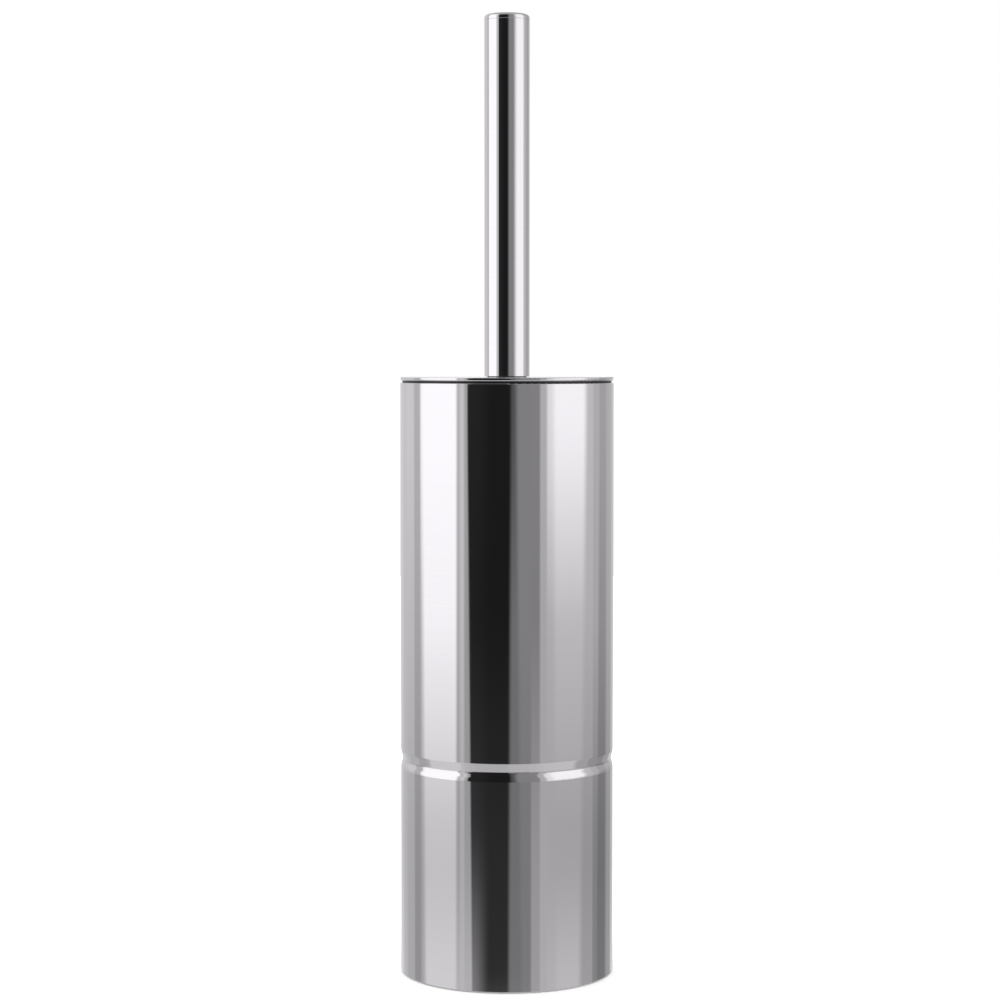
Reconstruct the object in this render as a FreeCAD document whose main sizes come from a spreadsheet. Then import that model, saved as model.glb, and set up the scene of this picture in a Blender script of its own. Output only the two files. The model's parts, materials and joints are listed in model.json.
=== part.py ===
import FreeCAD, Part
import Sketcher
import os
import re

# Toilet brush and its stainless steel holder, as a parametric FreeCAD document, in millimetres.
# Origin: the middle of the face that the holder stands on. +Z is up, and nearly every piece is
# turned about Z. From the outside in: a steel tube on a rubber ring, a plastic liner hung in the
# tube's mouth, a lid resting on the liner's rim, and a brush whose stem turns in the lid's bush.

os.makedirs("parts", exist_ok=True)
doc = FreeCAD.newDocument("toilet_brush_holder")

NEAR = 0.01  # mm: two places closer than this are the same place

# ---------------------------------------------------------------- driving dimensions

DIMENSIONS = {
    # steel tube
    "shell_radius": 44.45,
    "shell_wall": 0.7,
    "shell_top": 246.7,
    "shell_foot": 0.3,
    "foot_flange": 3.95,
    "foot_round": 0.4,
    "foot_inner_round": 0.3,
    "mouth_hem": 1.5,
    "mouth_hem_depth": 5.0,
    "mouth_round": 0.2,
    "bead_middle": 89.7,
    "bead_sink": 0.95,
    "bead_rise": 3.8,
    "bead_fall": 2.6,
    "bead_lip_round": 1.0,
    "bead_root_round": 1.6,
    "bead_shoulder_round": 5.0,
    # floor of the tube and the ring that it stands on
    "base_gap": 0.3,
    "base_plate_thickness": 2.0,
    "base_wall": 1.5,
    "base_wall_rise": 6.0,
    "base_round": 0.5,
    "foot_ring_inner": 34.0,
    "foot_ring_outer": 40.0,
    "foot_ring_round": 0.5,
    "foot_ring_rib": 1.0,
    "foot_ring_rib_half": 1.0,
    "foot_ring_play": 0.05,
    # liner
    "liner_rim_radius": 43.6,
    "liner_rim": 0.8,
    "liner_wall": 1.6,
    "liner_top_radius": 42.4,
    "liner_foot_radius": 40.4,
    "liner_foot": 9.2,
    "liner_foot_round": 8.0,
    "liner_dome_radius": 28.0,
    "liner_dome_rise": 2.4,
    "liner_dome_step": 0.7,
    "liner_mouth_round": 0.5,
    "liner_rim_round": 0.25,
    # lid
    "lid_radius": 44.35,
    "lid_rim": 1.6,
    "lid_rim_round": 0.4,
    "lid_rim_foot_round": 0.7,
    "lid_sheet": 1.0,
    "lid_rim_width": 1.7,
    "lid_rim_step": 0.3,
    "insert_radius": 40.2,
    "insert_plate": 1.5,
    "insert_wall": 1.5,
    "insert_depth": 8.0,
    "insert_boss_radius": 9.0,
    "insert_boss_depth": 10.0,
    "insert_rib": 1.6,
    "insert_rib_rise": 4.5,
    "insert_ribs": 6,
    "insert_round": 0.5,
    "bush_radius": 5.5,
    "bush_flange_radius": 8.2,
    "bush_flange": 0.15,
    "bush_running_fit": 0.06,
    # handle and stem
    "handle_radius": 9.4,
    "handle_wall": 1.0,
    "handle_gap": 0.1,
    "handle_top": 398.6,
    "cap_height": 2.4,
    "cap_round": 1.5,
    "cap_spigot": 6.0,
    "cap_spigot_wall": 1.2,
    "seam_round": 0.1,
    "push_fit": 0.03,
    "plug_height": 24.0,
    "plug_socket": 20.0,
    "stem_radius": 4.0,
    "washer_radius": 8.0,
    "washer_thickness": 1.2,
    "washer_hole": 4.2,
    "washer_play": 0.2,
    "nut_across_flats": 13.0,
    "nut_height": 4.0,
    "nut_chamfer": 0.6,
    # brush head
    "core_radius": 12.0,
    "core_foot": 34.0,
    "core_shoulder": 106.0,
    "core_neck_radius": 7.5,
    "core_neck_foot": 117.0,
    "core_top": 125.0,
    "core_round": 6.0,
    "core_shoulder_round": 3.0,
    "core_neck_round": 1.0,
    "core_socket": 22.0,
    "bristle_radius": 35.5,
    "bristle_sheet": 0.65,
    "bristle_pitch": 8.5,
    "bristle_first": 41.0,
    "bristle_rows": 8,
    "tip_radius": 30.0,
    "tip_foot": 20.0,
    "tip_sheet": 1.0,
}

sheet = doc.addObject("Spreadsheet::Sheet", "Sizes")
for row, (alias, number) in enumerate(DIMENSIONS.items(), 1):
    sheet.set(f"A{row}", alias)
    sheet.set(f"B{row}", str(number))
    sheet.setAlias(f"B{row}", alias)
doc.recompute()

# Heights that several pieces share, from the floor up
BASE_TOP = "(shell_foot + shell_wall + base_plate_thickness)"
LINER_TOP = "(shell_top + liner_rim)"
LID_TOP = "(shell_top + liner_rim + lid_rim)"
LID_UNDER = f"({LID_TOP} - lid_sheet)"
INSERT_UNDER = f"({LID_UNDER} - insert_plate)"
BUSH_FOOT = f"({LID_UNDER} - insert_boss_depth)"
HANDLE_FOOT = f"({LID_TOP} + bush_flange + handle_gap)"
CAP_FOOT = "(handle_top - cap_height)"
WASHER_TOP = f"({BUSH_FOOT} - washer_play)"
NUT_TOP = f"({WASHER_TOP} - washer_thickness)"
HANDLE_BORE = "(handle_radius - handle_wall)"

# ---------------------------------------------------------------- helpers


def in_sheet(expression):
    """The expression with each of its names looked up in the sheet."""
    return re.sub(r"[a-z_]+", lambda name: "Sizes." + name.group(0), expression)


def number_of(expression):
    return float(sheet.evalExpression(in_sheet(expression)))


def new_body(label):
    body = doc.addObject("PartDesign::Body", label)
    body.Label = label
    body.Placement = FreeCAD.Placement()
    return body


def new_sketch(body, name, plane):
    sketch = body.newObject("Sketcher::SketchObject", name)
    face = next(part for part in body.Origin.OriginFeatures if part.Role == plane)
    sketch.AttachmentSupport = [(face, "")]
    sketch.MapMode = "FlatFace"
    return sketch


def hold(sketch, direction, line, expression):
    """Holds a line's first end at a distance from the origin; "0" puts it on the axis."""
    if expression == "0":
        axis = -2 if direction == "DistanceX" else -1
        sketch.addConstraint(Sketcher.Constraint("PointOnObject", line, 1, axis))
        return
    distance = Sketcher.Constraint(direction, -1, 1, line, 1, number_of(expression))
    index = sketch.addConstraint(distance)
    sketch.setExpression(f"Constraints[{index}]", in_sheet(expression))


def draw_outline(sketch, corners):
    """A closed chain of straight lines through corners, each (across, up) in expressions."""
    places = [FreeCAD.Vector(number_of(across), number_of(up), 0) for across, up in corners]
    first = sketch.GeometryCount
    count = len(places)
    for line in range(count):
        edge = Part.LineSegment(places[line], places[(line + 1) % count])
        sketch.addGeometry(edge, False)
    for line in range(count):
        following = first + (line + 1) % count
        sketch.addConstraint(Sketcher.Constraint("Coincident", first + line, 2, following, 1))
    for line, (across, up) in enumerate(corners):
        hold(sketch, "DistanceX", first + line, across)
        hold(sketch, "DistanceY", first + line, up)


def draw_circle(sketch, radius):
    """A circle about the origin."""
    round_line = Part.Circle(FreeCAD.Vector(), FreeCAD.Vector(0, 0, 1), number_of(radius))
    line = sketch.addGeometry(round_line, False)
    sketch.addConstraint(Sketcher.Constraint("Coincident", line, 3, -1, 1))
    size = sketch.addConstraint(Sketcher.Constraint("Radius", line, number_of(radius)))
    sketch.setExpression(f"Constraints[{size}]", in_sheet(radius))


def turned(body, name, corners, kind="PartDesign::Revolution"):
    """Turns an outline of (radius, height) corners about Z: a Revolution adds, a Groove cuts."""
    sketch = new_sketch(body, f"{name}_outline", "XZ_Plane")
    draw_outline(sketch, corners)
    turn = body.newObject(kind, name)
    turn.Profile = sketch
    turn.ReferenceAxis = (sketch, ["V_Axis"])
    turn.Angle = 360
    doc.recompute()
    return turn


def ring_edge(shape, radius, height):
    """The name of the circular edge about Z at this radius and height."""
    for number, edge in enumerate(shape.Edges, 1):
        curve = edge.Curve
        if not isinstance(curve, Part.Circle):
            continue
        if abs(curve.Radius - radius) < NEAR and abs(curve.Center.z - height) < NEAR:
            return f"Edge{number}"
    raise ValueError(f"no circular edge of radius {radius} at height {height}")


def round_rings(body, name, size, rings):
    """Rounds circular edges, each given by (radius, height), to one size."""
    base = body.Tip
    edges = [ring_edge(base.Shape, number_of(r), number_of(z)) for r, z in rings]
    rounding = body.newObject("PartDesign::Fillet", name)
    rounding.Base = (base, edges)
    rounding.setExpression("Radius", in_sheet(size))
    doc.recompute()


# ---------------------------------------------------------------- holder


def make_outer_shell():
    """Steel tube: turned in at the foot, rolled inwards to a bead, hemmed at the mouth."""
    body = new_body("outer_shell")
    bead_root = ("shell_radius - bead_sink", "bead_middle")
    bead_lip = ("shell_radius", "bead_middle + bead_rise")
    bead_shoulder = ("shell_radius", "bead_middle - bead_fall")
    bore_root = ("shell_radius - bead_sink - shell_wall", "bead_middle")
    bore_lip = ("shell_radius - shell_wall", "bead_middle + bead_rise")
    bore_shoulder = ("shell_radius - shell_wall", "bead_middle - bead_fall")
    foot_corner = ("shell_radius", "shell_foot")
    foot_bore_corner = ("shell_radius - shell_wall", "shell_foot + shell_wall")
    mouth_outer = ("shell_radius", "shell_top")
    mouth_inner = ("shell_radius - mouth_hem", "shell_top")
    turned(body, "shell_wall_turned", [
        ("shell_radius - foot_flange", "shell_foot"),
        foot_corner,
        bead_shoulder,
        bead_root,
        bead_lip,
        mouth_outer,
        mouth_inner,
        ("shell_radius - mouth_hem", "shell_top - mouth_hem_depth"),
        ("shell_radius - shell_wall", "shell_top - mouth_hem_depth"),
        bore_lip,
        bore_root,
        bore_shoulder,
        foot_bore_corner,
        ("shell_radius - foot_flange", "shell_foot + shell_wall"),
    ])
    round_rings(body, "shell_foot_rounded", "foot_round", [foot_corner])
    round_rings(body, "shell_foot_bore_rounded", "foot_inner_round", [foot_bore_corner])
    round_rings(body, "shell_mouth_rounded", "mouth_round", [mouth_outer, mouth_inner])
    round_rings(body, "shell_bead_lips", "bead_lip_round", [bead_lip, bore_lip])
    round_rings(body, "shell_bead_roots", "bead_root_round", [bead_root, bore_root])
    round_rings(body, "shell_bead_shoulders", "bead_shoulder_round", [bead_shoulder, bore_shoulder])
    return body


def make_base_plate():
    """Plastic floor: it lies on the tube's foot flange, and its low wall grips the tube."""
    body = new_body("base_plate")
    rim = "shell_radius - shell_wall - base_gap"
    under = "shell_foot + shell_wall"
    foot_edge = (rim, under)
    wall_edge = (rim, f"{BASE_TOP} + base_wall_rise")
    wall_inner_edge = (f"{rim} - base_wall", f"{BASE_TOP} + base_wall_rise")
    turned(body, "base_plate_turned", [
        ("0", under),
        foot_edge,
        wall_edge,
        wall_inner_edge,
        (f"{rim} - base_wall", BASE_TOP),
        ("0", BASE_TOP),
    ])
    round_rings(body, "base_plate_rounded", "base_round", [foot_edge, wall_edge, wall_inner_edge])
    middle = "(foot_ring_inner + foot_ring_outer) / 2"
    half = "(foot_ring_rib_half + foot_ring_play)"
    groove_top = f"{under} + foot_ring_rib + foot_ring_play"
    turned(body, "base_plate_ring_groove", [
        (f"{middle} - {half}", under),
        (f"{middle} + {half}", under),
        (f"{middle} + {half}", groove_top),
        (f"{middle} - {half}", groove_top),
    ], "PartDesign::Groove")
    return body


def make_foot_ring():
    """Rubber ring under the floor plate, held by a rib in the plate's groove."""
    body = new_body("foot_ring")
    middle = "(foot_ring_inner + foot_ring_outer) / 2"
    top = "shell_foot + shell_wall"
    turned(body, "foot_ring_turned", [
        ("foot_ring_inner", "0"),
        ("foot_ring_outer", "0"),
        ("foot_ring_outer", top),
        (f"{middle} + foot_ring_rib_half", top),
        (f"{middle} + foot_ring_rib_half", f"{top} + foot_ring_rib"),
        (f"{middle} - foot_ring_rib_half", f"{top} + foot_ring_rib"),
        (f"{middle} - foot_ring_rib_half", top),
        ("foot_ring_inner", top),
    ])
    feet = [("foot_ring_inner", "0"), ("foot_ring_outer", "0")]
    round_rings(body, "foot_ring_rounded", "foot_ring_round", feet)
    return body


# ---------------------------------------------------------------- liner


def make_inner_liner():
    """Plastic cup that tapers to its foot and hangs by its rim on the tube's mouth.

    The middle of its floor is pushed up a little, which stiffens it and leaves a gutter round it.
    """
    body = new_body("inner_liner")
    foot_corner = ("liner_foot_radius", "liner_foot")
    floor_corner = ("liner_foot_radius - liner_wall", "liner_foot + liner_wall")
    mouth = ("liner_top_radius - liner_wall", LINER_TOP)
    rim_foot = ("liner_rim_radius", "shell_top")
    rim_top = ("liner_rim_radius", LINER_TOP)
    dome_foot = "liner_dome_radius + liner_dome_rise"
    dome_top = "liner_foot + liner_dome_rise"
    turned(body, "liner_turned", [
        ("0", dome_top),
        ("liner_dome_radius", dome_top),
        (dome_foot, "liner_foot"),
        foot_corner,
        ("liner_top_radius", "shell_top"),
        rim_foot,
        rim_top,
        mouth,
        floor_corner,
        (f"{dome_foot} + liner_dome_step", "liner_foot + liner_wall"),
        ("liner_dome_radius + liner_dome_step", f"{dome_top} + liner_wall"),
        ("0", f"{dome_top} + liner_wall"),
    ])
    round_rings(body, "liner_foot_rounded", "liner_foot_round", [foot_corner])
    round_rings(body, "liner_floor_rounded", "liner_foot_round - liner_wall", [floor_corner])
    round_rings(body, "liner_mouth_rounded", "liner_mouth_round", [mouth])
    round_rings(body, "liner_rim_rounded", "liner_rim_round", [rim_foot, rim_top])
    return body


# ---------------------------------------------------------------- lid


def make_lid_plate():
    """Thin steel disc whose thicker rim is rounded, more so below than above."""
    body = new_body("lid_plate")
    rim_top = ("lid_radius", LID_TOP)
    rim_foot = ("lid_radius", LINER_TOP)
    turned(body, "lid_plate_turned", [
        ("bush_radius", LID_TOP),
        rim_top,
        rim_foot,
        ("lid_radius - lid_rim_width", LINER_TOP),
        ("lid_radius - lid_rim_width - lid_rim_step", LID_UNDER),
        ("bush_radius", LID_UNDER),
    ])
    round_rings(body, "lid_rim_rounded", "lid_rim_round", [rim_top])
    round_rings(body, "lid_rim_foot_rounded", "lid_rim_foot_round", [rim_foot])
    return body


def make_lid_insert():
    """Plastic plug under the lid: a skirt that centres it in the liner, and a ribbed boss."""
    body = new_body("lid_insert")
    skirt_foot = ("insert_radius", f"{LID_UNDER} - insert_depth")
    skirt_inner_foot = ("insert_radius - insert_wall", f"{LID_UNDER} - insert_depth")
    boss_foot = ("insert_boss_radius", BUSH_FOOT)
    turned(body, "lid_insert_turned", [
        ("bush_radius", LID_UNDER),
        ("insert_radius", LID_UNDER),
        skirt_foot,
        skirt_inner_foot,
        ("insert_radius - insert_wall", INSERT_UNDER),
        ("insert_boss_radius", INSERT_UNDER),
        boss_foot,
        ("bush_radius", BUSH_FOOT),
    ])
    feet = [skirt_foot, skirt_inner_foot, boss_foot]
    round_rings(body, "lid_insert_rounded", "insert_round", feet)
    rib_sketch = new_sketch(body, "insert_rib_outline", "XZ_Plane")
    rib_inner = "insert_boss_radius - insert_wall / 2"
    rib_outer = "insert_radius - insert_wall / 2"
    rib_top = f"{INSERT_UNDER} + insert_plate / 2"
    rib_foot = f"{INSERT_UNDER} - insert_rib_rise"
    draw_outline(rib_sketch, [
        (rib_inner, rib_top),
        (rib_outer, rib_top),
        (rib_outer, rib_foot),
        (rib_inner, rib_foot),
    ])
    rib = body.newObject("PartDesign::Pad", "insert_rib")
    rib.Profile = rib_sketch
    rib.Midplane = True
    rib.setExpression("Length", in_sheet("insert_rib"))
    doc.recompute()
    ribs = body.newObject("PartDesign::PolarPattern", "insert_ribs")
    ribs.Originals = [rib]
    ribs.Axis = (rib_sketch, ["V_Axis"])
    ribs.Angle = 360
    ribs.setExpression("Occurrences", in_sheet("insert_ribs"))
    body.Tip = ribs
    return body


def make_lid_bush():
    """Flanged plastic bearing bush that the stem turns in."""
    body = new_body("lid_bush")
    bore = "stem_radius + bush_running_fit"
    turned(body, "lid_bush_turned", [
        (bore, f"{LID_TOP} + bush_flange"),
        ("bush_flange_radius", f"{LID_TOP} + bush_flange"),
        ("bush_flange_radius", LID_TOP),
        ("bush_radius", LID_TOP),
        ("bush_radius", BUSH_FOOT),
        (bore, BUSH_FOOT),
    ])
    return body


# ---------------------------------------------------------------- handle and stem


def make_handle_tube():
    """Steel handle, open at both ends before the cap and the plug go in."""
    body = new_body("handle_tube")
    seam = ("handle_radius", CAP_FOOT)
    turned(body, "handle_tube_turned", [
        (HANDLE_BORE, HANDLE_FOOT),
        ("handle_radius", HANDLE_FOOT),
        seam,
        (HANDLE_BORE, CAP_FOOT),
    ])
    round_rings(body, "handle_seam_rounded", "seam_round", [seam, ("handle_radius", HANDLE_FOOT)])
    return body


def make_handle_cap():
    """Steel cap with a rounded top edge and a hollow spigot inside the tube."""
    body = new_body("handle_cap")
    spigot = f"{HANDLE_BORE} - push_fit"
    spigot_foot = f"{CAP_FOOT} - cap_spigot"
    top_edge = ("handle_radius", "handle_top")
    seam = ("handle_radius", CAP_FOOT)
    turned(body, "handle_cap_turned", [
        ("0", "handle_top"),
        top_edge,
        seam,
        (spigot, CAP_FOOT),
        (spigot, spigot_foot),
        (f"{spigot} - cap_spigot_wall", spigot_foot),
        (f"{spigot} - cap_spigot_wall", CAP_FOOT),
        ("0", CAP_FOOT),
    ])
    round_rings(body, "handle_cap_seam_rounded", "seam_round", [seam])
    round_rings(body, "handle_cap_rounded", "cap_round", [top_edge])
    return body


def make_handle_plug():
    """Plug pressed into the handle's lower end, with a socket for the stem."""
    body = new_body("handle_plug")
    socket = "stem_radius + push_fit"
    turned(body, "handle_plug_turned", [
        (socket, HANDLE_FOOT),
        (f"{HANDLE_BORE} - push_fit", HANDLE_FOOT),
        (f"{HANDLE_BORE} - push_fit", f"{HANDLE_FOOT} + plug_height"),
        ("0", f"{HANDLE_FOOT} + plug_height"),
        ("0", f"{HANDLE_FOOT} + plug_socket"),
        (socket, f"{HANDLE_FOOT} + plug_socket"),
    ])
    return body


def make_stem():
    """Steel rod from the head's socket to the handle's socket."""
    body = new_body("stem")
    circle = new_sketch(body, "stem_section", "XY_Plane")
    draw_circle(circle, "stem_radius")
    foot = "core_top - core_socket"
    circle.setExpression("AttachmentOffset.Base.z", in_sheet(foot))
    rod = body.newObject("PartDesign::Pad", "stem_rod")
    rod.Profile = circle
    rod.setExpression("Length", in_sheet(f"{HANDLE_FOOT} + plug_socket - ({foot})"))
    return body


def make_stem_washer():
    """Steel washer that turns under the bush and keeps the stem from pulling up."""
    body = new_body("stem_washer")
    turned(body, "stem_washer_turned", [
        ("washer_hole", WASHER_TOP),
        ("washer_radius", WASHER_TOP),
        ("washer_radius", NUT_TOP),
        ("washer_hole", NUT_TOP),
    ])
    return body


def make_stem_nut():
    """Thin hexagon nut on the stem, its corners chamfered above and below."""
    nut = doc.addObject("Part::Prism", "nut_hexagon")
    nut.Polygon = 6
    nut.setExpression("Circumradius", in_sheet("nut_across_flats") + " / 2 / cos(30 deg)")
    nut.setExpression("Height", in_sheet("nut_height"))
    cone = doc.addObject("Part::Cylinder", "nut_turned_blank")
    cone.setExpression("Radius", in_sheet("nut_across_flats") + " / 2 / cos(30 deg)")
    cone.setExpression("Height", in_sheet("nut_height"))
    doc.recompute()
    chamfered = doc.addObject("Part::Chamfer", "nut_chamfered_blank")
    chamfered.Base = cone
    rims = [n for n, edge in enumerate(cone.Shape.Edges, 1) if isinstance(edge.Curve, Part.Circle)]
    chamfer = number_of("nut_chamfer")
    chamfered.Edges = [(rim, chamfer, chamfer) for rim in rims]
    hexagon = doc.addObject("Part::MultiCommon", "nut_blank")
    hexagon.Shapes = [nut, chamfered]
    hole = doc.addObject("Part::Cylinder", "nut_hole")
    hole.setExpression("Radius", in_sheet("stem_radius + push_fit"))
    hole.setExpression("Height", in_sheet("nut_height"))
    bored = doc.addObject("Part::Cut", "stem_nut")
    bored.Label = "stem_nut"
    bored.Base = hexagon
    bored.Tool = hole
    bored.setExpression("Placement.Base.z", in_sheet(f"{NUT_TOP} - nut_height"))
    return bored


# ---------------------------------------------------------------- brush head


def make_brush_core():
    """Moulded head: a round-ended core, and a neck with the stem's socket in it."""
    body = new_body("brush_core")
    socket = "stem_radius + push_fit"
    foot = ("core_radius", "core_foot")
    shoulder = ("core_radius", "core_shoulder")
    neck_foot = ("core_neck_radius", "core_neck_foot")
    neck_top = ("core_neck_radius", "core_top")
    turned(body, "brush_core_turned", [
        ("0", "core_foot"),
        foot,
        shoulder,
        neck_foot,
        neck_top,
        (socket, "core_top"),
        (socket, "core_top - core_socket"),
        ("0", "core_top - core_socket"),
    ])
    round_rings(body, "brush_core_foot_rounded", "core_round", [foot])
    round_rings(body, "brush_core_neck_blended", "core_shoulder_round", [shoulder, neck_foot])
    round_rings(body, "brush_core_neck_rounded", "core_neck_round", [neck_top])
    return body


def make_bristle_rows():
    """Rows of bristles, each as the flat ring of the plastic that its filaments hold."""
    body = new_body("bristle_rows")
    ring = new_sketch(body, "bristle_row_section", "XY_Plane")
    draw_circle(ring, "bristle_radius")
    draw_circle(ring, "core_radius + push_fit")
    ring.setExpression("AttachmentOffset.Base.z", in_sheet("bristle_first"))
    bristle_row = body.newObject("PartDesign::Pad", "bristle_row")
    bristle_row.Profile = ring
    bristle_row.setExpression("Length", in_sheet("bristle_sheet"))
    doc.recompute()
    rows = body.newObject("PartDesign::LinearPattern", "bristle_row_stack")
    rows.Originals = [bristle_row]
    rows.Direction = (ring, ["N_Axis"])
    rows.setExpression("Occurrences", in_sheet("bristle_rows"))
    rows.setExpression("Length", in_sheet("(bristle_rows - 1) * bristle_pitch"))
    body.Tip = rows
    return body


def make_bristle_tip():
    """Bristles of the round end, as one thin bell that opens downwards."""
    body = new_body("bristle_tip")
    crown = "core_radius - core_round"
    crown_top = "core_foot - push_fit"
    turned(body, "bristle_tip_turned", [
        ("0", crown_top),
        (crown, crown_top),
        ("tip_radius", "tip_foot + tip_sheet"),
        ("tip_radius", "tip_foot"),
        (crown, f"{crown_top} - tip_sheet"),
        ("0", f"{crown_top} - tip_sheet"),
    ])
    return body


# ---------------------------------------------------------------- build, check and write

PIECES = [
    make_outer_shell(),
    make_base_plate(),
    make_foot_ring(),
    make_inner_liner(),
    make_lid_plate(),
    make_lid_insert(),
    make_lid_bush(),
    make_handle_tube(),
    make_handle_cap(),
    make_handle_plug(),
    make_stem(),
    make_stem_washer(),
    make_stem_nut(),
    make_brush_core(),
    make_bristle_rows(),
    make_bristle_tip(),
]

doc.recompute()
for part in doc.Objects:
    if {"Invalid", "Error"} & set(part.State):
        raise RuntimeError(f"{part.Name} failed: {part.State}")
for piece in PIECES:
    if piece.Shape.isNull() or not piece.Shape.isValid():
        raise RuntimeError(f"{piece.Label} has no valid shape")

for piece in PIECES:
    shape = piece.Shape
    box = shape.BoundBox
    print(
        f"{piece.Label:14} solids {len(shape.Solids)}  volume {shape.Volume / 1000:7.2f} cm3"
        f"  radius {box.XMax:6.2f}  z {box.ZMin:7.2f} to {box.ZMax:7.2f}"
    )
    shape.exportStep(f"parts/{piece.Label}.step")
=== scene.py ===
import json
import math
import random
from collections import namedtuple

import bpy
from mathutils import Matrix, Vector


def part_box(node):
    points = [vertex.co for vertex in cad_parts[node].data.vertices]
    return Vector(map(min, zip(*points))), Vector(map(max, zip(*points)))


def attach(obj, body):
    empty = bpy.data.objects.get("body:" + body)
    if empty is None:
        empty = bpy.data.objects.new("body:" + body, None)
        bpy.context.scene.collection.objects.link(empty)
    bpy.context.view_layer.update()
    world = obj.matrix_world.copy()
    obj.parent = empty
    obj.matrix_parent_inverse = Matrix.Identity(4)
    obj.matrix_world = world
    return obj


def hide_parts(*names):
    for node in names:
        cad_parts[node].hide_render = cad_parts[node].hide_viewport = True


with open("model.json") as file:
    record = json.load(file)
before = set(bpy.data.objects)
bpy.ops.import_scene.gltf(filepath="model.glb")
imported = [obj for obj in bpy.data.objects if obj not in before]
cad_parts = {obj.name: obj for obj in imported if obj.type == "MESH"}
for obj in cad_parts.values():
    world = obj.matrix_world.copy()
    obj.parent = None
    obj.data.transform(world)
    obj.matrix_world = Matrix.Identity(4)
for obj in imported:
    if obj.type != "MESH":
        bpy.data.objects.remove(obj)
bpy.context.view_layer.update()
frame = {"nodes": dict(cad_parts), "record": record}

# Toilet brush and holder: polished steel outside, black plastic inside, pale bristles on the head.
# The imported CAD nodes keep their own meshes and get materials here. The bristles are built here,
# in place of the plain rings that stand for them in the CAD model. All lengths are in metres.


def mm(length):
    """Millimetres to metres."""
    return length / 1000


# ---------------------------------------------------------------- material helpers


def new_material(name):
    """A node material with a Principled shader; returns it with its nodes, links and shader."""
    material = bpy.data.materials.new(name)
    material.use_nodes = True
    nodes = material.node_tree.nodes
    links = material.node_tree.links
    shader = nodes["Principled BSDF"]
    return material, nodes, links, shader


def object_place(nodes, links, stretch=(1, 1, 1)):
    """Object coordinates times a stretch in each direction."""
    place = nodes.new("ShaderNodeTexCoord")
    mapping = nodes.new("ShaderNodeMapping")
    mapping.inputs["Scale"].default_value = stretch
    links.new(place.outputs["Object"], mapping.inputs["Vector"])
    return mapping.outputs["Vector"]


def radius_of(nodes, links, place):
    """How far a place is from the Z axis."""
    flat = nodes.new("ShaderNodeMapping")
    flat.inputs["Scale"].default_value = (1, 1, 0)
    length = nodes.new("ShaderNodeVectorMath")
    length.operation = "LENGTH"
    links.new(place, flat.inputs["Vector"])
    links.new(flat.outputs["Vector"], length.inputs[0])
    return length.outputs["Value"]


def noise(nodes, links, place, scale, detail, roughness=0.5):
    """A noise texture's grey value at a place."""
    texture = nodes.new("ShaderNodeTexNoise")
    texture.inputs["Scale"].default_value = scale
    texture.inputs["Detail"].default_value = detail
    texture.inputs["Roughness"].default_value = roughness
    links.new(place, texture.inputs["Vector"])
    return texture.outputs["Fac"]


def spread(nodes, links, value, low, high, start=0.3, end=0.7):
    """Maps a value between start and end onto low to high. Most of a noise is from 0.3 to 0.7."""
    ranged = nodes.new("ShaderNodeMapRange")
    ranged.inputs["From Min"].default_value = start
    ranged.inputs["From Max"].default_value = end
    ranged.inputs["To Min"].default_value = low
    ranged.inputs["To Max"].default_value = high
    links.new(value, ranged.inputs["Value"])
    return ranged.outputs["Result"]


def tint(nodes, links, value, first, second):
    """A colour that goes from first to second with a value."""
    ramp = nodes.new("ShaderNodeValToRGB")
    ramp.color_ramp.elements[0].color = (*first, 1)
    ramp.color_ramp.elements[1].color = (*second, 1)
    links.new(value, ramp.inputs["Fac"])
    return ramp.outputs["Color"]


def bump(nodes, links, height, distance, strength, under=None):
    """Adds a bump of a height value to a normal; distance is how high a full step stands."""
    relief = nodes.new("ShaderNodeBump")
    relief.inputs["Distance"].default_value = distance
    relief.inputs["Strength"].default_value = strength
    links.new(height, relief.inputs["Height"])
    if under is not None:
        links.new(under, relief.inputs["Normal"])
    return relief.outputs["Normal"]


QUARTER_TURN = 0.25


def round_tangent(nodes, links, shader, amount):
    """Stretches highlights across the polishing lines, which run round the Z axis."""
    tangent = nodes.new("ShaderNodeTangent")
    tangent.direction_type = "RADIAL"
    tangent.axis = "Z"
    shader.inputs["Anisotropic"].default_value = amount
    shader.inputs["Anisotropic Rotation"].default_value = QUARTER_TURN
    links.new(tangent.outputs["Tangent"], shader.inputs["Tangent"])


# ---------------------------------------------------------------- materials

POLISH_FINENESS = 5200  # how often the polishing lines change in a metre, along Z and outwards
POLISH_DRIFT = 8  # how often they change in a metre across, so a line varies on its way round
PLASTIC_IOR = 1.49
RUBBER_IOR = 1.5


def polishing_place(nodes, links):
    """Coordinates that change fast along Z and outwards from it, and slowly round it."""
    place = nodes.new("ShaderNodeTexCoord").outputs["Object"]
    radius = radius_of(nodes, links, place)
    split = nodes.new("ShaderNodeSeparateXYZ")
    links.new(place, split.inputs["Vector"])
    joined = nodes.new("ShaderNodeCombineXYZ")
    for value, factor, axis in (
        (radius, POLISH_FINENESS, "X"),
        (split.outputs["Z"], POLISH_FINENESS, "Y"),
        (split.outputs["X"], POLISH_DRIFT, "Z"),
    ):
        product = nodes.new("ShaderNodeMath")
        product.operation = "MULTIPLY"
        product.inputs[1].default_value = factor
        links.new(value, product.inputs[0])
        links.new(product.outputs["Value"], joined.inputs[axis])
    return joined.outputs["Vector"]


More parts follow.
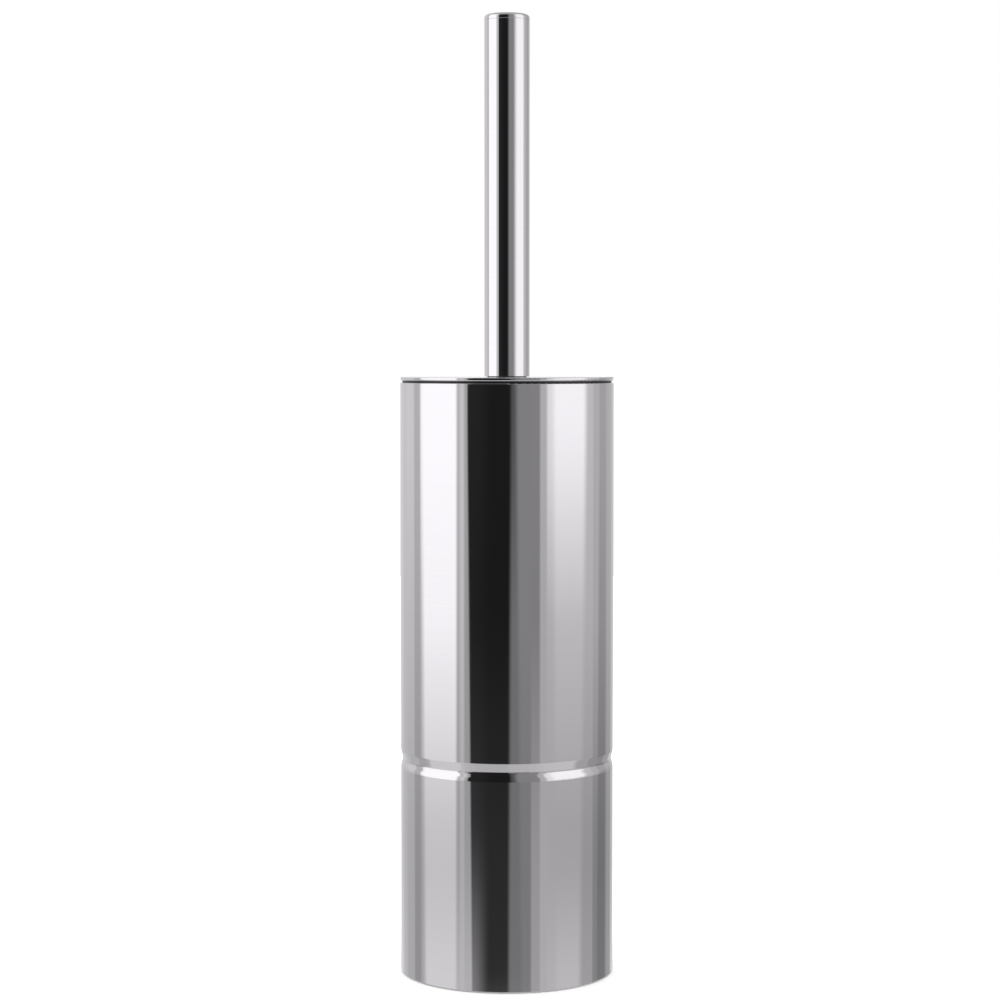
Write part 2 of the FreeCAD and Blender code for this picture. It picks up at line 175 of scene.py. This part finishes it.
def polished_steel():
    """Mirror-polished stainless steel with faint polishing lines round it and a slow waviness."""
    material, nodes, links, shader = new_material("polished_steel_finish")
    shader.inputs["Metallic"].default_value = 1.0
    round_tangent(nodes, links, shader, amount=0.6)

    lines = noise(nodes, links, polishing_place(nodes, links), scale=1, detail=4)
    shade = tint(nodes, links, lines, first=(0.70, 0.68, 0.71), second=(0.77, 0.75, 0.78))
    links.new(shade, shader.inputs["Base Color"])

    cloud_place = object_place(nodes, links, stretch=(1, 1, 0.5))
    clouds = noise(nodes, links, cloud_place, scale=26, detail=3)
    links.new(spread(nodes, links, clouds, low=0.03, high=0.07), shader.inputs["Roughness"])

    wave_place = object_place(nodes, links, stretch=(1, 1, 0.35))
    waves = noise(nodes, links, wave_place, scale=14, detail=1)
    slow = bump(nodes, links, waves, distance=mm(0.03), strength=0.35)
    fine = bump(nodes, links, lines, distance=mm(0.0004), strength=0.5, under=slow)
    links.new(fine, shader.inputs["Normal"])
    return material


def turned_steel():
    """Satin steel of the stem, washer and nut, with the fine rings that a lathe leaves."""
    material, nodes, links, shader = new_material("turned_steel_finish")
    shader.inputs["Metallic"].default_value = 1.0
    round_tangent(nodes, links, shader, amount=0.7)

    ring_place = object_place(nodes, links, stretch=(4, 4, 3000))
    rings = noise(nodes, links, ring_place, scale=1, detail=3)
    shade = tint(nodes, links, rings, first=(0.50, 0.50, 0.51), second=(0.66, 0.66, 0.66))
    links.new(shade, shader.inputs["Base Color"])

    stain_place = object_place(nodes, links, stretch=(1, 1, 0.4))
    stains = noise(nodes, links, stain_place, scale=90, detail=4)
    links.new(spread(nodes, links, stains, low=0.2, high=0.38), shader.inputs["Roughness"])
    links.new(bump(nodes, links, rings, distance=mm(0.01), strength=0.6), shader.inputs["Normal"])
    return material


def moulded_plastic(name, dark, light, roughness, grain_depth):
    """Injection-moulded plastic with a fine spark-eroded grain and slightly uneven gloss."""
    material, nodes, links, shader = new_material(name)
    shader.inputs["IOR"].default_value = PLASTIC_IOR
    place = object_place(nodes, links)

    clouds = noise(nodes, links, place, scale=35, detail=4)
    links.new(tint(nodes, links, clouds, dark, light), shader.inputs["Base Color"])
    uneven = spread(nodes, links, clouds, low=roughness - 0.06, high=roughness + 0.08)
    links.new(uneven, shader.inputs["Roughness"])

    grains = noise(nodes, links, place, scale=2600, detail=2, roughness=0.6)
    links.new(bump(nodes, links, grains, distance=grain_depth, strength=0.5), shader.inputs["Normal"])
    return material


def foot_rubber():
    """Matt rubber with a dusty bloom."""
    material, nodes, links, shader = new_material("foot_rubber_finish")
    shader.inputs["IOR"].default_value = RUBBER_IOR
    place = object_place(nodes, links)

    bloom = noise(nodes, links, place, scale=160, detail=5)
    shade = tint(nodes, links, bloom, first=(0.018, 0.018, 0.018), second=(0.045, 0.045, 0.043))
    links.new(shade, shader.inputs["Base Color"])
    links.new(spread(nodes, links, bloom, low=0.72, high=0.92), shader.inputs["Roughness"])

    grains = noise(nodes, links, place, scale=1800, detail=3)
    links.new(bump(nodes, links, grains, distance=mm(0.03), strength=0.6), shader.inputs["Normal"])
    return material


def bristle_plastic():
    """Pale, slightly see-through filaments, each a little different from the next."""
    material, nodes, links, shader = new_material("bristle_finish")
    shader.inputs["IOR"].default_value = PLASTIC_IOR
    shader.inputs["Subsurface Weight"].default_value = 0.25
    shader.inputs["Subsurface Radius"].default_value = (mm(0.6), mm(0.55), mm(0.5))
    place = object_place(nodes, links)

    shades = noise(nodes, links, place, scale=900, detail=2)
    shade = tint(nodes, links, shades, first=(0.66, 0.66, 0.63), second=(0.86, 0.86, 0.83))
    links.new(shade, shader.inputs["Base Color"])
    links.new(spread(nodes, links, shades, low=0.3, high=0.5), shader.inputs["Roughness"])

    scuffs = noise(nodes, links, place, scale=4200, detail=2)
    links.new(bump(nodes, links, scuffs, distance=mm(0.02), strength=0.4), shader.inputs["Normal"])
    return material


FINISHES = {
    "polished_steel": polished_steel(),
    "rod_steel": turned_steel(),
    "black_plastic": moulded_plastic(
        "black_plastic_finish",
        dark=(0.010, 0.010, 0.011),
        light=(0.020, 0.020, 0.021),
        roughness=0.42,
        grain_depth=mm(0.02),
    ),
    "bush_plastic": moulded_plastic(
        "bush_plastic_finish",
        dark=(0.03, 0.03, 0.032),
        light=(0.055, 0.055, 0.058),
        roughness=0.36,
        grain_depth=mm(0.01),
    ),
    "foot_rubber": foot_rubber(),
    "bristle": bristle_plastic(),
}


def finish_nodes():
    """Gives each CAD node the finish of its material slot in the record."""
    for row in frame["record"]["subparts"]:
        node = frame["nodes"][row["node"]]
        node.data.materials.clear()
        node.data.materials.append(FINISHES[row["material_slot"]])


finish_nodes()

# ---------------------------------------------------------------- bristles

ROW_SEED = 20
TIP_SEED = 21

FILAMENT_RADIUS = mm(0.27)
FILAMENT_SIDES = 5
FILAMENT_JOINTS = 5  # places along a filament where its centre line may bend
FILAMENT_TAPER = 0.25  # share of its radius that a filament has lost at its tip
FILAMENT_BOW = (-0.2, 1.0)  # how far a tuft's outermost tips may bow out, in millimetres
FILAMENT_LENGTH = (0.965, 0.995)  # length, as a share of the way to the head's outline

FILAMENTS_IN_TUFT = 26
TUFT_RADIUS = mm(1.5)
TUFT_SPREAD = 0.19  # how far the outermost filaments lean out of a tuft, in radians
TUFT_UNEVENNESS = (0.8, 1.2)  # what a filament's lean is multiplied by
TUFT_JITTER = 0.25  # how far round its tuft a filament may stand from its even place, in radians
ROOT_DEPTH = mm(0.6)  # how deep a filament's root is in the head
GOLDEN_TURN = math.pi * (3 - math.sqrt(5))

ROW_COUNT = 8
TUFTS_IN_ROW = 16
CORE_ROUND = mm(6)  # radius of the head's rounded lower edge
# tufts in each ring of the round end, how many degrees below level they point, and how much of a
# step the ring is turned by
TIP_RINGS = ((12, 32, 0.0), (8, 58, 0.5), (1, 90, 0.0))

NEARLY_UPRIGHT = 0.9  # Z of a unit vector that is too close to the Z axis for a cross product
TINY = 1e-6


def side_vectors(along):
    """Two unit vectors square to a direction and to each other."""
    helper = Vector((0, 0, 1)) if abs(along.z) < NEARLY_UPRIGHT else Vector((1, 0, 0))
    across = along.cross(helper).normalized()
    return across, along.cross(across).normalized()


def add_filament(points, faces, root, along, length, bow):
    """Adds one closed filament that starts at root and bows sideways towards its tip."""
    across, up = side_vectors(along)
    first = len(points)
    for joint in range(FILAMENT_JOINTS):
        share = joint / (FILAMENT_JOINTS - 1)
        centre = root + along * (length * share) + bow * (share * share)
        radius = FILAMENT_RADIUS * (1 - FILAMENT_TAPER * share ** 4)
        for side in range(FILAMENT_SIDES):
            turn = math.tau * side / FILAMENT_SIDES
            points.append(centre + (across * math.cos(turn) + up * math.sin(turn)) * radius)
    for joint in range(FILAMENT_JOINTS - 1):
        for side in range(FILAMENT_SIDES):
            low = first + joint * FILAMENT_SIDES
            high = low + FILAMENT_SIDES
            beside = (side + 1) % FILAMENT_SIDES
            faces.append((low + side, high + side, high + beside, low + beside))
    last = first + (FILAMENT_JOINTS - 1) * FILAMENT_SIDES
    faces.append(tuple(first + side for side in range(FILAMENT_SIDES)))
    faces.append(tuple(last + side for side in reversed(range(FILAMENT_SIDES))))


def add_tuft(points, faces, chance, root, along, reach):
    """Adds a tuft: filaments packed in a round hole, which lean apart towards their tips."""
    across, up = side_vectors(along)
    for number in range(FILAMENTS_IN_TUFT):
        share = math.sqrt((number + 0.5) / FILAMENTS_IN_TUFT)
        turn = number * GOLDEN_TURN + chance.uniform(-TUFT_JITTER, TUFT_JITTER)
        out = across * math.cos(turn) + up * math.sin(turn)
        lean = TUFT_SPREAD * share * chance.uniform(*TUFT_UNEVENNESS)
        heading = (along + out * lean).normalized()
        bow = out * mm(chance.uniform(*FILAMENT_BOW)) * share
        start = root + out * (TUFT_RADIUS * share)
        length = reach(start, heading) * chance.uniform(*FILAMENT_LENGTH)
        add_filament(points, faces, start, heading, length, bow)


def reach_to_side(radius):
    """Makes the rule for how far a filament goes before it meets a cylinder round the Z axis."""

    def reach(start, heading):
        flat = Vector((heading.x, heading.y))
        place = Vector((start.x, start.y))
        along = place.dot(flat)
        spare = radius ** 2 - place.length_squared
        return (-along + math.sqrt(along ** 2 + flat.length_squared * spare)) / flat.length_squared

    return reach


def reach_to_side_or_foot(radius, foot):
    """Makes the rule for how far a filament goes before it leaves the outline of the round end."""

    def reach(start, heading):
        down = (start.z - foot) / max(-heading.z, TINY)
        flat = Vector((heading.x, heading.y)).length
        out = (radius - Vector((start.x, start.y)).length) / max(flat, TINY)
        return min(down, out)

    return reach


def build_bristles(name, node, points, faces):
    """Makes the mesh of a set of bristles, which stands for the node's plain solid."""
    mesh = bpy.data.meshes.new(name)
    mesh.from_pydata(points, [], faces)
    mesh.polygons.foreach_set("use_smooth", [len(face.vertices) == 4 for face in mesh.polygons])
    mesh.materials.append(FINISHES["bristle"])
    piece = bpy.data.objects.new(name, mesh)
    bpy.context.scene.collection.objects.link(piece)
    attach(piece, "brush")
    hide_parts(node)


def build_rows():
    """Rows of radial tufts, each row turned half a step from the one below."""
    low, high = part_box("bristle_rows")
    core_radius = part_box("brush_core")[1].x
    reach = reach_to_side(high.x)
    pitch = (high.z - low.z) / (ROW_COUNT - 1)
    chance = random.Random(ROW_SEED)
    points = []
    faces = []
    for row in range(ROW_COUNT):
        height = low.z + row * pitch
        for tuft in range(TUFTS_IN_ROW):
            turn = math.tau * (tuft + 0.5 * (row % 2)) / TUFTS_IN_ROW
            along = Vector((math.cos(turn), math.sin(turn), 0))
            root = along * (core_radius - ROOT_DEPTH) + Vector((0, 0, height))
            add_tuft(points, faces, chance, root, along, reach)
    build_bristles("bristles_of_rows", "bristle_rows", points, faces)


def build_tip():
    """Tufts of the round end: rings that lean further down towards the middle."""
    low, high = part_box("bristle_tip")
    core_low, core_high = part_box("brush_core")
    reach = reach_to_side_or_foot(high.x, low.z)
    chance = random.Random(TIP_SEED)
    points = []
    faces = []
    for tufts, droop, twist in TIP_RINGS:
        dip = math.radians(droop)
        ring_radius = core_high.x - CORE_ROUND if tufts > 1 else 0
        for tuft in range(tufts):
            turn = math.tau * (tuft + twist) / tufts
            along = Vector((
                math.cos(turn) * math.cos(dip),
                math.sin(turn) * math.cos(dip),
                -math.sin(dip),
            ))
            centre = Vector((math.cos(turn), math.sin(turn), 0)) * ring_radius
            centre.z = core_low.z + CORE_ROUND
            root = centre + along * (CORE_ROUND - ROOT_DEPTH)
            add_tuft(points, faces, chance, root, along, reach)
    build_bristles("bristles_of_tip", "bristle_tip", points, faces)


build_rows()
build_tip()

# ---------------------------------------------------------------- what the steel mirrors

# Polished steel shows little but its surroundings, so the object stands inside a round wall of
# soft-edged strips of light that change with height. A ceiling and a card under everything close
# it. The camera doesn't see any of it, only its reflections and the light that it gives. Azimuth 0
# is on the camera's side, and 90 is towards +X.
#
# The strips stand for what the steel in the photo mirrors. Their places and levels were read off
# brightness measured in the photo round the tube, then corrected until the render agreed
# with it from the photo's view. What each strip is called is a guess, and so is all behind it.

WALL_DISTANCE = 2.0
WALL_TOP = 1.7
WALL_MIDDLE = 0.5
WALL_FOOT = -0.75
WALL_COLUMNS = 720
CLOSE_ROWS = 15  # rows of points where the light changes with height
CLOSE_ROW_STEP = 0.06
LOWEST_CLOSE_ROW = -0.65
LEVEL_RINGS = 12  # rings of points of the ceiling and of the card

CEILING_GLOW = 0.5
CARD_GLOW = 0.56
STRIP_HEIGHTS = (0.17, -0.05, -0.32, -0.49, WALL_FOOT)

# What a strip is, the azimuths where it starts at the first and at the last but one of the heights
# above, how many degrees that edge is soft over, and the strip's light at each of the heights. A
# strip goes on to where the next one starts.
Strip = namedtuple("Strip", "name top_edge foot_edge softness levels")
STRIPS = (
    Strip("wall behind", -180, -180, 1, (1.00, 0.12, 0.12, 0.12, 0.55)),
    Strip("room behind, left", -171, -171, 5, (0.73, 0.72, 0.66, 0.78, 0.66)),
    Strip("room, left", -151, -151, 10, (0.71, 0.65, 0.57, 0.62, 0.60)),
    Strip("pale card, left", -137, -137, 8, (0.77, 0.66, 0.52, 0.52, 0.57)),
    Strip("left sail's frame", -118.1, -118.1, 3, (0.58, 0.51, 0.38, 0.38, 0.48)),
    Strip("left sail's edge", -105.9, -105.5, 4, (1.18, 0.72, 0.48, 0.52, 0.52)),
    Strip("left sail", -103, -98.5, 8, (1.34, 1.24, 0.69, 0.85, 0.77)),
    Strip("left sail's stand", -54.9, -56, 4, (0.59, 0.54, 0.43, 0.62, 0.66)),
    Strip("pale strip", -51.2, -51.2, 3, (0.74, 0.68, 0.53, 0.66, 0.62)),
    Strip("grey strip", -46.2, -46.2, 3, (0.50, 0.42, 0.42, 0.60, 0.58)),
    Strip("black flag", -42.5, -37.4, 2.5, (0.022, 0.017, 0.045, 0.27, 0.56)),
    Strip("black flag's middle", -24, -28, 20, (0.014, 0.013, 0.03, 0.035, 0.55)),
    Strip("dark board", 4.2, 1.6, 5, (0.11, 0.20, 0.21, 0.22, 0.59)),
    Strip("dark board's far end", 9.8, 15.5, 6, (0.28, 0.28, 0.25, 0.26, 0.60)),
    Strip("grey board", 25.4, 25.4, 3, (0.29, 0.27, 0.40, 0.45, 0.62)),
    Strip("right sail's frame", 35, 35, 3, (0.56, 0.51, 0.50, 0.57, 0.65)),
    Strip("right sail's edge", 42.8, 42.8, 4, (0.98, 0.57, 0.48, 0.61, 0.68)),
    Strip("right sail", 50.5, 54, 8, (1.23, 0.67, 0.46, 0.68, 0.69)),
    Strip("right sail's far edge", 92.5, 85, 10, (0.67, 0.57, 0.39, 0.46, 0.46)),
    Strip("rail", 105.2, 105.2, 3, (0.56, 0.51, 0.28, 0.31, 0.37)),
    Strip("shade", 117, 113.5, 5, (0.46, 0.36, 0.21, 0.24, 0.37)),
    Strip("room, right", 134, 134, 8, (0.54, 0.49, 0.38, 0.42, 0.42)),
    Strip("room behind, right", 152, 152, 10, (0.64, 0.63, 0.60, 0.76, 0.64)),
    Strip("wall behind, right", 171, 171, 5, (1.00, 0.12, 0.12, 0.12, 0.55)),
)


def between(value, pairs):
    """Straight-line interpolation in (place, amount) pairs, held level past either end."""
    low = pairs[0]
    for high in pairs:
        if value <= high[0]:
            span = high[0] - low[0]
            share = (value - low[0]) / span if span else 0
            return low[1] + (high[1] - low[1]) * share
        low = high
    return low[1]


def ease(share):
    """Goes smoothly from 0 to 1 as its share does."""
    share = min(max(share, 0), 1)
    return share * share * (3 - 2 * share)


def strip_light(strip, height):
    """How bright a strip is at a height."""
    return between(height, list(zip(STRIP_HEIGHTS[::-1], strip.levels[::-1])))


def wall_light(azimuth, height):
    """How bright the wall is at a place: each strip takes over from the last at its soft edge."""
    down = between(height, [(STRIP_HEIGHTS[-2], 1), (STRIP_HEIGHTS[0], 0)])
    light = strip_light(STRIPS[0], height)
    for strip in STRIPS[1:]:
        edge = strip.top_edge + (strip.foot_edge - strip.top_edge) * down
        share = ease((azimuth - edge) / strip.softness + 0.5)
        light += (strip_light(strip, height) - light) * share
    return light


def facing(azimuth, distance, height):
    """A place round the object."""
    turn = math.radians(azimuth)
    return Vector((math.sin(turn) * distance, -math.cos(turn) * distance, height))


def stage_mesh(name, points, faces, material):
    """A piece of the studio, which the camera doesn't see unless it is shown again."""
    mesh = bpy.data.meshes.new(name)
    mesh.from_pydata(points, [], faces)
    mesh.materials.append(material)
    piece = bpy.data.objects.new(name, mesh)
    bpy.context.scene.collection.objects.link(piece)
    piece.visible_camera = False
    return piece


def glow_by_point(name):
    """Light whose strength is stored at the points of the mesh."""
    material = bpy.data.materials.new(name)
    material.use_nodes = True
    nodes = material.node_tree.nodes
    links = material.node_tree.links
    nodes.clear()
    stored = nodes.new("ShaderNodeAttribute")
    stored.attribute_name = "glow"
    light = nodes.new("ShaderNodeEmission")
    out = nodes.new("ShaderNodeOutputMaterial")
    links.new(stored.outputs["Fac"], light.inputs["Strength"])
    links.new(light.outputs["Emission"], out.inputs["Surface"])
    return material


def lit_sheet(name, places, light_at):
    """A sheet that runs once round the object.

    places has the (distance, height) of each ring of its points, and light_at gives the light
    there from an azimuth, a distance and a height.
    """
    points = []
    lights = []
    for column in range(WALL_COLUMNS):
        azimuth = 360 * column / WALL_COLUMNS - 180
        for distance, height in places:
            points.append(facing(azimuth, distance, height))
            lights.append(light_at(azimuth, distance, height))
    faces = []
    rings = len(places)
    for column in range(WALL_COLUMNS):
        first = column * rings
        second = (column + 1) % WALL_COLUMNS * rings
        for ring in range(rings - 1):
            faces.append((first + ring, first + ring + 1, second + ring + 1, second + ring))
    sheet = stage_mesh(name, points, faces, glow_by_point(name + "_light"))
    attribute = sheet.data.attributes.new("glow", "FLOAT", "POINT")
    attribute.data.foreach_set("value", lights)


def build_wall():
    """The round wall."""
    close_rows = [LOWEST_CLOSE_ROW + CLOSE_ROW_STEP * row for row in range(CLOSE_ROWS)]
    heights = [WALL_FOOT, *close_rows, WALL_MIDDLE, WALL_TOP]
    places = [(WALL_DISTANCE, height) for height in heights]
    lit_sheet("wall", places, lambda azimuth, distance, height: wall_light(azimuth, height))


def build_level_sheet(name, level, glow, even_to, wall_from):
    """A ceiling or a card, from just off the axis out to the wall.

    Its middle has an even glow, out to one share of the way to the wall. From another share of
    the way on it is as bright as the wall is where the two meet.
    """

    def light_at(azimuth, distance, height):
        share = ease((distance / WALL_DISTANCE - even_to) / (wall_from - even_to))
        return glow + (wall_light(azimuth, height) - glow) * share

    distances = [WALL_DISTANCE * max(ring, 0.01) / LEVEL_RINGS for ring in range(LEVEL_RINGS + 1)]
    lit_sheet(name, [(distance, level) for distance in distances], light_at)


build_wall()
build_level_sheet("ceiling", WALL_TOP, CEILING_GLOW, even_to=1 / 3, wall_from=1)
build_level_sheet("under_card", WALL_FOOT, CARD_GLOW, even_to=0.2, wall_from=0.6)

# ---------------------------------------------------------------- floor and light

FLOOR_RADIUS = WALL_DISTANCE - 0.05
FLOOR_SIDES = 96


def build_overhead_light():
    """A soft light from above for the floor and the plastics, which the steel doesn't mirror."""
    data = bpy.data.lights.new("overhead_light", "AREA")
    data.shape = "DISK"
    data.size = 1.4
    data.energy = 30.0
    light = bpy.data.objects.new("overhead_light", data)
    light.location = (0, 0, WALL_TOP - 0.05)
    light.visible_camera = False
    light.visible_glossy = False
    bpy.context.scene.collection.objects.link(light)


def floor_with_painted_glow():
    """Pale floor with a painted glow: its emission is dim at the object and bright away from it, so
    it fades into the white world.
    """
    material, nodes, links, shader = new_material("floor_with_painted_glow")
    shader.inputs["Roughness"].default_value = 0.8
    shader.inputs["Base Color"].default_value = (0.9, 0.9, 0.9, 1)
    shader.inputs["Emission Color"].default_value = (1, 1, 1, 1)
    place = nodes.new("ShaderNodeTexCoord")
    distance = nodes.new("ShaderNodeVectorMath")
    distance.operation = "LENGTH"
    links.new(place.outputs["Object"], distance.inputs[0])
    # painted glow: the floor's emission grows with distance from the object, a light that no lamp
    # gives
    painted_glow = spread(nodes, links, distance.outputs["Value"], low=0.12, high=0.8, start=0.1, end=0.7)
    links.new(painted_glow, shader.inputs["Emission Strength"])
    return material


def build_floor():
    """The floor, which the camera sees and the steel doesn't mirror."""
    points = [facing(360 * side / FLOOR_SIDES, FLOOR_RADIUS, 0) for side in range(FLOOR_SIDES)]
    floor = stage_mesh("floor", points, [tuple(range(FLOOR_SIDES))], floor_with_painted_glow())
    floor.visible_camera = True
    floor.visible_glossy = False
    floor.visible_transmission = False


def build_white_world():
    """Plain white all round, beyond the floor."""
    world = bpy.data.worlds.new("studio")
    bpy.context.scene.world = world
    world.use_nodes = True
    background = world.node_tree.nodes["Background"]
    background.inputs["Color"].default_value = (1, 1, 1, 1)
    background.inputs["Strength"].default_value = 1.0


build_overhead_light()
build_floor()
build_white_world()

# ---------------------------------------------------------------- camera

CAMERA_DISTANCE = 1.075
CAMERA_HEIGHT = 0.2575
CAMERA_LEFT = 0.0029
CAMERA_TILT = 3.183  # degrees down
SENSOR_WIDTH = 36.0  # millimetres, like the lens
LENS = 92.83


def place_camera():
    """A camera like the photo's, worked out from the tube's size and the ellipses of its edges."""
    data = bpy.data.cameras.new("camera")
    data.lens = LENS
    data.sensor_width = SENSOR_WIDTH
    camera = bpy.data.objects.new("camera", data)
    camera.location = (-CAMERA_LEFT, -CAMERA_DISTANCE, CAMERA_HEIGHT)
    camera.rotation_euler = (math.radians(90 - CAMERA_TILT), 0, 0)
    bpy.context.scene.collection.objects.link(camera)
    bpy.context.scene.camera = camera


place_camera()
bpy.context.scene.view_settings.view_transform = "Standard"
bpy.context.scene.cycles.max_bounces = 16
bpy.context.scene.cycles.glossy_bounces = 8
